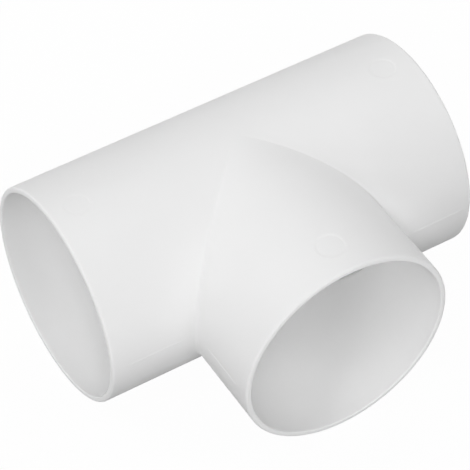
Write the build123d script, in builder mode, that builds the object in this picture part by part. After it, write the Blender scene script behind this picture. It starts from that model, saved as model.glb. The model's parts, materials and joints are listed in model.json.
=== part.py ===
from build123d import *
import os

# Ventilation duct tee: one white plastic moulding that joins three round ducts of one diameter.
# The run lies along X and the branch leaves it along -Y. The three axes cross at the origin, and
# +Z is up when the tee lies on a flat surface. Sizes are in millimetres and degrees.

duct_diameter = 100.0  # outside diameter of the ducts that push into the mouths
duct_clearance = 0.2  # room round a duct in its mouth, on the radius
duct_stop = 0.7  # how much the passage is narrower than the sockets, on the radius
wall = 3.6  # thickness of the moulded wall round a socket
run_length = 195.0  # from mouth to mouth along the run
branch_reach = 97.1  # from the run's axis to the branch's mouth
socket_start = 76.0  # from the crossing of the axes to the inner end of each straight socket
passage_end = 56.0  # from the crossing to where the passage starts to widen into a socket
crotch_radius = 1.2  # blend in the corner between the branch and the run
rim_radius = 1.2  # rounded outer edge of each mouth
lead_in = 1.4  # chamfer on the inner edge of each mouth

socket_radius = duct_diameter / 2 + duct_clearance
passage_radius = socket_radius - duct_stop
outer_radius = socket_radius + wall
run_reach = run_length / 2

# Each leg is drawn in a plane whose x runs out along the leg from the crossing of the axes
right_leg = Plane(origin=(0, 0, 0), x_dir=(1, 0, 0), z_dir=(0, 0, 1))
left_leg = Plane(origin=(0, 0, 0), x_dir=(-1, 0, 0), z_dir=(0, 0, 1))
branch_leg = Plane(origin=(0, 0, 0), x_dir=(0, -1, 0), z_dir=(0, 0, 1))
leg_reach = [(right_leg, run_reach), (left_leg, run_reach), (branch_leg, branch_reach)]


def axis_of(leg):
    return Axis((0, 0, 0), leg.x_dir)


def outside_section(leg, reach):
    """Half section of a leg's outside, with its rounded rim, from the crossing to the mouth."""
    rim_start = reach - rim_radius
    rim_end = outer_radius - rim_radius
    with BuildSketch(leg) as section:
        with BuildLine():
            Polyline((0, 0), (0, outer_radius), (rim_start, outer_radius))
            CenterArc((rim_start, rim_end), rim_radius, start_angle=0, arc_size=90)
            Polyline((reach, rim_end), (reach, 0), (0, 0))
        make_face()
    return section.sketch


def bore_section(leg, reach):
    """Half section of a leg's bore: straight passage, taper that stops a duct, socket and lead-in."""
    with BuildSketch(leg) as section:
        with BuildLine():
            Polyline(
                (0, 0),
                (0, passage_radius),
                (passage_end, passage_radius),
                (socket_start, socket_radius),
                (reach - lead_in, socket_radius),
                (reach, socket_radius + lead_in),
                (reach, 0),
                close=True,
            )
        make_face()
    return section.sketch


with BuildPart() as duct_tee:
    # Upper right quarter of the outside: the run from its middle to one mouth, and half of the branch
    revolve(outside_section(right_leg, run_reach), axis=axis_of(right_leg))
    revolve(outside_section(branch_leg, branch_reach), axis=axis_of(branch_leg))
    split(bisect_by=Plane.YZ)
    split(bisect_by=Plane.XY)

    # Two equal cylinders cross in an ellipse, and the blend along it fades out at the top and bottom
    crotch = duct_tee.edges().filter_by(GeomType.ELLIPSE)
    fillet(crotch, radius=crotch_radius)
    mirror(about=Plane.XY)
    mirror(about=Plane.YZ)

    # The three bores, which open into one another at the middle
    for leg, reach in leg_reach:
        revolve(bore_section(leg, reach), axis=axis_of(leg), mode=Mode.SUBTRACT)

duct_tee.part.label = "duct_tee"
os.makedirs("parts", exist_ok=True)
export_step(duct_tee.part, "parts/duct_tee.step")
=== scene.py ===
import json
from collections import namedtuple
from math import cos, hypot, pi, radians, sin

import bmesh
import bpy
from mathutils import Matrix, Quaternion, Vector


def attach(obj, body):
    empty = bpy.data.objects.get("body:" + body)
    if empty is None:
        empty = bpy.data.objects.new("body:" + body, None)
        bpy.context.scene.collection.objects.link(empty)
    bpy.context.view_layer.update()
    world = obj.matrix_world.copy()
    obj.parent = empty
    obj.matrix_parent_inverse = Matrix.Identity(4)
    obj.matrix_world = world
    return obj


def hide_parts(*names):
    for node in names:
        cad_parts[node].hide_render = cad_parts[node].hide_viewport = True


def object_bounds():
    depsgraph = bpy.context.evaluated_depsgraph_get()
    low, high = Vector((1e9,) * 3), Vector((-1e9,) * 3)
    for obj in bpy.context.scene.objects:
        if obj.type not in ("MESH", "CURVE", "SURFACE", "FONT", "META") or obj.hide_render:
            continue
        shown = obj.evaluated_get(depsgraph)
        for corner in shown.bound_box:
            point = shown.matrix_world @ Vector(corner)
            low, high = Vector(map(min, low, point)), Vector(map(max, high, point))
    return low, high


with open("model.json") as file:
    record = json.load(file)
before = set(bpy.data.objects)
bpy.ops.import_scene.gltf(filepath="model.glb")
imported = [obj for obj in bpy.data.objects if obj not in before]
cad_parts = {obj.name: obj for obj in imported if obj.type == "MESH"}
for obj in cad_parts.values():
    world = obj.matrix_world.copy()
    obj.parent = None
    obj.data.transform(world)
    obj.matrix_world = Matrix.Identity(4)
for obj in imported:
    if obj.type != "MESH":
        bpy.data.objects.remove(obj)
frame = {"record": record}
cad_low, cad_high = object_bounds()

# A white plastic tee for round ventilation ducts, on a plain pale floor. The run lies along X, the
# branch leaves it along -Y, and +Z is up. Lengths are in metres, the small ones as multiples of a
# millimetre, and only the camera's lens and sensor are in millimetres.
MM = 0.001
UP = Vector((0, 0, 1))
FRONT = Vector((0, -1, 0))
RIGHT = Vector((1, 0, 0))

# Sizes that come with the frame
mount_radius = {mount["name"]: mount["dims"]["r_mm"] * MM for mount in frame["record"]["mounts"]}
outer_radius = cad_high.z
run_reach = cad_high.x
branch_reach = -cad_low.y
passage_radius = mount_radius["run"]

# Sizes of the moulding that the frame doesn't give
rim_wall = 2.9 * MM
rim_radius = 1.2 * MM
mouth_edge = 0.7 * MM
passage_end = 56 * MM
crotch_blend = 1.2 * MM
passage_blend = 0.4 * MM
mouth_radius = outer_radius - rim_wall

# Shallow round marks that the mould's pins left on top of each leg, near its mouth
widest_mark = 6.8 * MM
mark_edge = 0.8 * MM
mark_margin = 1.4 * MM

# Thin raised line where the halves of the mould met, on both sides of each leg
seam_height = 0.19 * MM
seam_half_width = 0.45 * MM
seam_fade = 3.0 * MM

# Spacing of the mesh, closest at those details and at the edges
mark_step = 0.4 * MM
seam_step = 0.11 * MM
rim_step = 0.3 * MM
mouth_step = 0.5 * MM
taper_step = 3.0 * MM
wide_step = 2.6 * MM
long_step = 7.0 * MM
blend_turns = 6
rim_turns = 6
weld_distance = 0.002 * MM
sharp_edge = radians(30)

# Satin plastic: lightness and its clouds, roughness and its patches, and a fine grain
plastic_tone = (0.88, 0.90)
cloud_scale = 18.0
cloud_detail = 3.0
plastic_roughness = (0.60, 0.70)
patch_scale = 60.0
patch_detail = 4.0
plastic_specular = 0.25
grain_scale = 2200.0
grain_detail = 2.0
grain_strength = 0.05
grain_height = 0.05 * MM

# The floor's colour as it is seen, as it throws light on, and how much of it is plain white
floor_colour = 0.9
floor_bounce = 0.22
floor_whiteness = 0.97
floor_half_width = 4.0

# Softboxes round the object; azimuth 0 is in front of it, and 90 to its right. Their powers are whole
# watts, set after a fit of trial lamps to the photograph's tones.
Softbox = namedtuple("Softbox", "name azimuth elevation width power")
SOFTBOXES = [
    Softbox("key", azimuth=-30, elevation=42, width=0.5, power=12),
    Softbox("left low", azimuth=-60, elevation=8, width=0.5, power=7),
    Softbox("left", azimuth=-75, elevation=25, width=0.5, power=7),
    Softbox("front low", azimuth=0, elevation=8, width=0.5, power=6),
    Softbox("right front", azimuth=35, elevation=40, width=1.2, power=9),
    Softbox("right low", azimuth=60, elevation=10, width=1.2, power=6),
    Softbox("back right", azimuth=140, elevation=40, width=1.2, power=16),
    Softbox("back left", azimuth=-140, elevation=40, width=1.2, power=11),
    Softbox("back left low", azimuth=-150, elevation=10, width=1.2, power=8),
]
softbox_distance = 2.0

# The photograph's angle, from far off with a long lens, as fitted to the photograph's outlines
camera_target = Vector((-4.01, -6.06, -6.61)) * MM
camera_azimuth = -31.295
camera_elevation = 47.68
camera_distance = 1280.61 * MM
camera_roll = -0.232
camera_lens = 207.70
camera_sensor = 36


def one_side(turn):
    """Where a leg of the run meets the branch, which lies on one side of it, as a share of the radius."""
    return max(turn, 0.0)


# A leg points along one direction, and angles round it turn from its top to one side. From an angle's
# sine, meets tells how far out the leg meets its neighbour, as a share of the radius. The pin mark lies
# inset from the mouth and shifted round the leg. The parting line ends inset from the mouth, and starts
# at a distance from the middle where the leg meets its neighbour.
Mark = namedtuple("Mark", "radius depth inset shift")
Seam = namedtuple("Seam", "start inset")
Leg = namedtuple("Leg", "along side reach meets mark seam")
RIGHT_LEG = Leg(
    RIGHT, FRONT, run_reach, one_side,
    Mark(radius=6.3 * MM, depth=0.20 * MM, inset=16.1 * MM, shift=-1.0 * MM),
    Seam(start=56.5 * MM, inset=3.6 * MM),
)
LEFT_LEG = Leg(
    -RIGHT, FRONT, run_reach, one_side,
    Mark(radius=6.2 * MM, depth=0.16 * MM, inset=14.3 * MM, shift=0.0),
    Seam(start=60.5 * MM, inset=7.8 * MM),
)
BRANCH_LEG = Leg(
    FRONT, RIGHT, branch_reach, abs,
    Mark(radius=6.8 * MM, depth=0.24 * MM, inset=16.7 * MM, shift=0.0),
    Seam(start=63.2 * MM, inset=7.8 * MM),
)
LEGS = [RIGHT_LEG, LEFT_LEG, BRANCH_LEG]


def graded(length, first, last, widest, growth=1.3):
    """Distances from 0 to a length in steps that are small at both ends and wider between."""
    head = [first]
    tail = [last]
    while sum(head) + sum(tail) < length:
        shorter = head if head[-1] <= tail[-1] else tail
        shorter.append(min(shorter[-1] * growth, widest))
    steps = head + tail[::-1]
    scale = length / sum(steps)
    distances = [0.0]
    for step in steps:
        distances.append(distances[-1] + step * scale)
    return distances


# Shares of the way from the crotch to the pin mark, and from the passage's end to the crease inside
CROTCH_TO_MARK = graded(1.0, first=0.02, last=0.05, widest=0.2)
PASSAGE_TO_CREASE = graded(1.0, first=0.1, last=0.02, widest=0.25)


def smooth_step(value):
    """A smooth rise from 0 to 1 as a value goes from 0 to 1."""
    value = min(max(value, 0.0), 1.0)
    return value * value * (3 - 2 * value)


def column_angles():
    """Angles round a leg from its top, closest together at the pin mark and along the parting line."""
    quarter = outer_radius * pi / 2
    mark_reach = widest_mark + mark_margin
    mark_columns = round(mark_reach / mark_step)
    arcs = [mark_reach * column / mark_columns for column in range(mark_columns)]
    arcs += [mark_reach + arc for arc in graded(quarter - mark_reach, mark_step, seam_step, wide_step)]
    arcs += [quarter + arc for arc in graded(quarter, seam_step, wide_step, wide_step)[1:]]
    half = [arc / outer_radius for arc in arcs]
    return half + [2 * pi - angle for angle in reversed(half[1:-1])]


ANGLES = column_angles()


def point(leg, angle, distance, radius):
    """A point at a distance along a leg and a radius from its axis."""
    return leg.along * distance + (UP * cos(angle) + leg.side * sin(angle)) * radius


def ring(leg, distance, radius):
    """A row of points round a leg."""
    return [point(leg, angle, distance, radius) for angle in ANGLES]


def blend_start(leg, angle, radius, blend):
    """Distance along a leg at which its wall runs into the blend with its neighbour, or to the middle."""
    return (radius + blend) * leg.meets(sin(angle))


def pin_mark(leg, angle, distance):
    """Depth of the pin mark at a place on a leg, as a negative height."""
    arc = outer_radius * (angle if angle < pi else angle - 2 * pi)
    inside = leg.mark.radius - hypot(arc - leg.mark.shift, distance - (leg.reach - leg.mark.inset))
    return -leg.mark.depth * smooth_step(inside / mark_edge + 0.5)


def seam(leg, angle, distance):
    """Height of the parting line at a place on a leg."""
    arc = outer_radius * abs(min(angle, 2 * pi - angle) - pi / 2)
    if arc >= seam_half_width:
        return 0.0
    crown = (1 + cos(pi * arc / seam_half_width)) / 2
    fade = smooth_step((leg.reach - leg.seam.inset - distance) / seam_fade + 0.5)
    if leg.meets(sin(angle)) > 0:
        fade *= smooth_step((distance - leg.seam.start) / seam_fade + 0.5)
    return seam_height * crown * fade


def outside_point(leg, angle, distance):
    relief = pin_mark(leg, angle, distance) + seam(leg, angle, distance)
    return point(leg, angle, distance, outer_radius + relief)


def outside_rows(leg):
    """Rows of points from the crotch to the rim."""
    mark_reach = widest_mark + mark_margin
    mark_start = leg.reach - leg.mark.inset - mark_reach
    mark_end = mark_start + 2 * mark_reach
    rows = []
    for share in CROTCH_TO_MARK:
        row = []
        for angle in ANGLES:
            start = blend_start(leg, angle, outer_radius, crotch_blend)
            row.append(outside_point(leg, angle, start + (mark_start - start) * share))
        rows.append(row)
    mark_rows = round(2 * mark_reach / mark_step)
    distances = [mark_start + 2 * mark_reach * row / mark_rows for row in range(1, mark_rows)]
    to_rim = graded(leg.reach - rim_radius - mark_end, mark_step, rim_step, wide_step)
    distances += [mark_end + step for step in to_rim]
    for distance in distances:
        rows.append([outside_point(leg, angle, distance) for angle in ANGLES])
    return rows


def rim_rows(leg):
    """Rows round the edge of a mouth: the rounded outer edge, the flat end and the rounded inner edge."""
    rows = []
    for turn in range(1, rim_turns + 1):
        swing = pi / 2 * turn / rim_turns
        distance = leg.reach - rim_radius * (1 - sin(swing))
        rows.append(ring(leg, distance, outer_radius - rim_radius * (1 - cos(swing))))
    for turn in range(rim_turns + 1):
        swing = pi / 2 * turn / rim_turns
        distance = leg.reach - mouth_edge * (1 - cos(swing))
        rows.append(ring(leg, distance, mouth_radius + mouth_edge * (1 - sin(swing))))
    return rows


def inside_rows(leg):
    """Rows back from the mouth: the tapered socket, which stops a duct, and the straight passage."""
    start = leg.reach - mouth_edge
    length = start - passage_end
    rows = []
    for step in graded(length, mouth_step, taper_step, long_step)[1:]:
        radius = mouth_radius + (passage_radius - mouth_radius) * step / length
        rows.append(ring(leg, start - step, radius))
    for share in PASSAGE_TO_CREASE[1:]:
        row = []
        for angle in ANGLES:
            end = blend_start(leg, angle, passage_radius, passage_blend)
            row.append(point(leg, angle, passage_end + (end - passage_end) * share, passage_radius))
        rows.append(row)
    return rows


def part_turned(start, end, share):
    """A unit vector part of the way round from one to another."""
    angle = start.angle(end)
    if angle == 0:
        return start.copy()
    return (start * sin(angle * (1 - share)) + end * sin(angle * share)) / sin(angle)


def blend_rows(mirror, radius, blend):
    """Rows across the blend between the run and one side of the branch, from its top to its bottom."""
    rows = []
    for turn in range(blend_turns + 1):
        row = []
        for angle in ANGLES[:len(ANGLES) // 2 + 1]:
            across = (radius + blend) * sin(angle)
            centre = Vector((across, -across, (radius + blend) * cos(angle)))
            to_run = Vector((0, sin(angle), -cos(angle)))
            to_branch = Vector((-sin(angle), 0, -cos(angle)))
            spot = centre + blend * part_turned(to_run, to_branch, turn / blend_turns)
            row.append(Vector((spot.x * mirror, spot.y, spot.z)))
        rows.append(row)
    return rows


def add_rows(mesh, rows, closed):
    """Adds a sheet of quads to a bmesh, from rows of points of one length."""
    grid = [[mesh.verts.new(spot) for spot in row] for row in rows]
    columns = len(rows[0])
    for near, far in zip(grid, grid[1:]):
        for column in range(columns if closed else columns - 1):
            following = (column + 1) % columns
            mesh.faces.new((near[column], near[following], far[following], far[column]))


def tee_body():
    """The moulding as one closed mesh."""
    mesh = bmesh.new()
    for leg in LEGS:
        add_rows(mesh, outside_rows(leg) + rim_rows(leg) + inside_rows(leg), closed=True)
    for mirror in (1, -1):
        add_rows(mesh, blend_rows(mirror, outer_radius, crotch_blend), closed=False)
        add_rows(mesh, blend_rows(mirror, passage_radius, passage_blend), closed=False)
    bmesh.ops.remove_doubles(mesh, verts=mesh.verts, dist=weld_distance)
    bmesh.ops.recalc_face_normals(mesh, faces=mesh.faces)
    data = bpy.data.meshes.new("tee_body")
    mesh.to_mesh(data)
    mesh.free()
    data.shade_smooth()
    data.set_sharp_from_angle(angle=sharp_edge)
    body = bpy.data.objects.new("tee_body", data)
    bpy.context.collection.objects.link(body)
    return body


def new_material(name):
    material = bpy.data.materials.new(name)
    material.use_nodes = True
    return material, material.node_tree.nodes, material.node_tree.links


def noise(nodes, links, coordinates, scale, detail):
    texture = nodes.new("ShaderNodeTexNoise")
    texture.inputs["Scale"].default_value = scale
    texture.inputs["Detail"].default_value = detail
    links.new(coordinates, texture.inputs["Vector"])
    return texture.outputs["Fac"]


def spread(nodes, links, value, source, result):
    """A value carried from one range to another."""
    scaled = nodes.new("ShaderNodeMapRange")
    scaled.inputs["From Min"].default_value, scaled.inputs["From Max"].default_value = source
    scaled.inputs["To Min"].default_value, scaled.inputs["To Max"].default_value = result
    links.new(value, scaled.inputs["Value"])
    return scaled.outputs["Result"]


def white_plastic():
    """Satin white plastic as it leaves the mould, with faint flow clouds and a fine grain."""
    material, nodes, links = new_material("white_plastic")
    shader = nodes["Principled BSDF"]
    shader.inputs["Specular IOR Level"].default_value = plastic_specular
    coordinates = nodes.new("ShaderNodeTexCoord").outputs["Object"]
    usual_noise = (0.3, 0.7)

    clouds = noise(nodes, links, coordinates, cloud_scale, cloud_detail)
    tone = spread(nodes, links, clouds, usual_noise, plastic_tone)
    links.new(tone, shader.inputs["Base Color"])

    patches = noise(nodes, links, coordinates, patch_scale, patch_detail)
    links.new(spread(nodes, links, patches, usual_noise, plastic_roughness), shader.inputs["Roughness"])

    grain = noise(nodes, links, coordinates, grain_scale, grain_detail)
    bump = nodes.new("ShaderNodeBump")
    bump.inputs["Strength"].default_value = grain_strength
    bump.inputs["Distance"].default_value = grain_height
    links.new(grain, bump.inputs["Height"])
    links.new(bump.outputs["Normal"], shader.inputs["Normal"])
    return material


def either(nodes, links, first, second):
    """A value of 1 where either of two values is 1."""
    total = nodes.new("ShaderNodeMath")
    total.operation = "ADD"
    total.use_clamp = True
    links.new(first, total.inputs[0])
    links.new(second, total.inputs[1])
    return total.outputs["Value"]


def floor_material():
    """Pale floor that looks white with a faint shadow, and throws back little light of its own."""
    material, nodes, links = new_material("pale_floor")
    nodes.remove(nodes["Principled BSDF"])
    path = nodes.new("ShaderNodeLightPath").outputs
    mirrored = either(nodes, links, path["Is Glossy Ray"], path["Is Transmission Ray"])
    seen = either(nodes, links, path["Is Camera Ray"], mirrored)
    off_to_on = (0.0, 1.0)

    matt = nodes.new("ShaderNodeBsdfDiffuse")
    shade = spread(nodes, links, seen, off_to_on, (floor_bounce, floor_colour))
    links.new(shade, matt.inputs["Color"])
    white = nodes.new("ShaderNodeEmission")
    white.inputs["Color"].default_value = (1, 1, 1, 1)
    white.inputs["Strength"].default_value = 1.0
    blend = nodes.new("ShaderNodeMixShader")
    links.new(spread(nodes, links, seen, off_to_on, (0.0, floor_whiteness)), blend.inputs["Fac"])
    links.new(matt.outputs["BSDF"], blend.inputs[1])
    links.new(white.outputs["Emission"], blend.inputs[2])
    links.new(blend.outputs["Shader"], nodes["Material Output"].inputs["Surface"])
    return material


def add_floor():
    """Floor that the tee lies on."""
    half = floor_half_width
    corners = [(-half, -half), (half, -half), (half, half), (-half, half)]
    data = bpy.data.meshes.new("floor")
    data.from_pydata([(x, y, cad_low.z) for x, y in corners], [], [(0, 1, 2, 3)])
    data.materials.append(floor_material())
    floor = bpy.data.objects.new("floor", data)
    bpy.context.collection.objects.link(floor)


def direction(azimuth, elevation):
    """Unit vector from the object towards a place round it."""
    turn = radians(azimuth)
    rise = radians(elevation)
    return Vector((sin(turn) * cos(rise), -cos(turn) * cos(rise), sin(rise)))


def add_softbox(softbox):
    """Square area lamp that faces the object."""
    lamp = bpy.data.lights.new(softbox.name, "AREA")
    lamp.shape = "SQUARE"
    lamp.size = softbox.width
    lamp.energy = softbox.power
    holder = bpy.data.objects.new(softbox.name, lamp)
    towards = direction(softbox.azimuth, softbox.elevation)
    holder.location = towards * softbox_distance
    holder.rotation_mode = "QUATERNION"
    holder.rotation_quaternion = towards.to_track_quat("Z", "Y")
    bpy.context.collection.objects.link(holder)


def add_dark_world():
    """A world with no light of its own, so that only the softboxes light the object."""
    world = bpy.data.worlds.new("studio")
    world.use_nodes = True
    world.node_tree.nodes["Background"].inputs["Strength"].default_value = 0.0
    bpy.context.scene.world = world


def add_camera():
    data = bpy.data.cameras.new("camera")
    data.lens = camera_lens
    data.sensor_width = camera_sensor
    camera = bpy.data.objects.new("camera", data)
    towards = direction(camera_azimuth, camera_elevation)
    camera.location = camera_target + towards * camera_distance
    camera.rotation_mode = "QUATERNION"
    roll = Quaternion((0, 0, 1), radians(camera_roll))
    camera.rotation_quaternion = towards.to_track_quat("Z", "Y") @ roll
    bpy.context.collection.objects.link(camera)
    bpy.context.scene.camera = camera


body = tee_body()
body.data.materials.append(white_plastic())
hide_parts("duct_tee")
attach(body, "root")

add_floor()
add_dark_world()
for softbox in SOFTBOXES:
    add_softbox(softbox)
add_camera()
bpy.context.scene.view_settings.view_transform = "Standard"
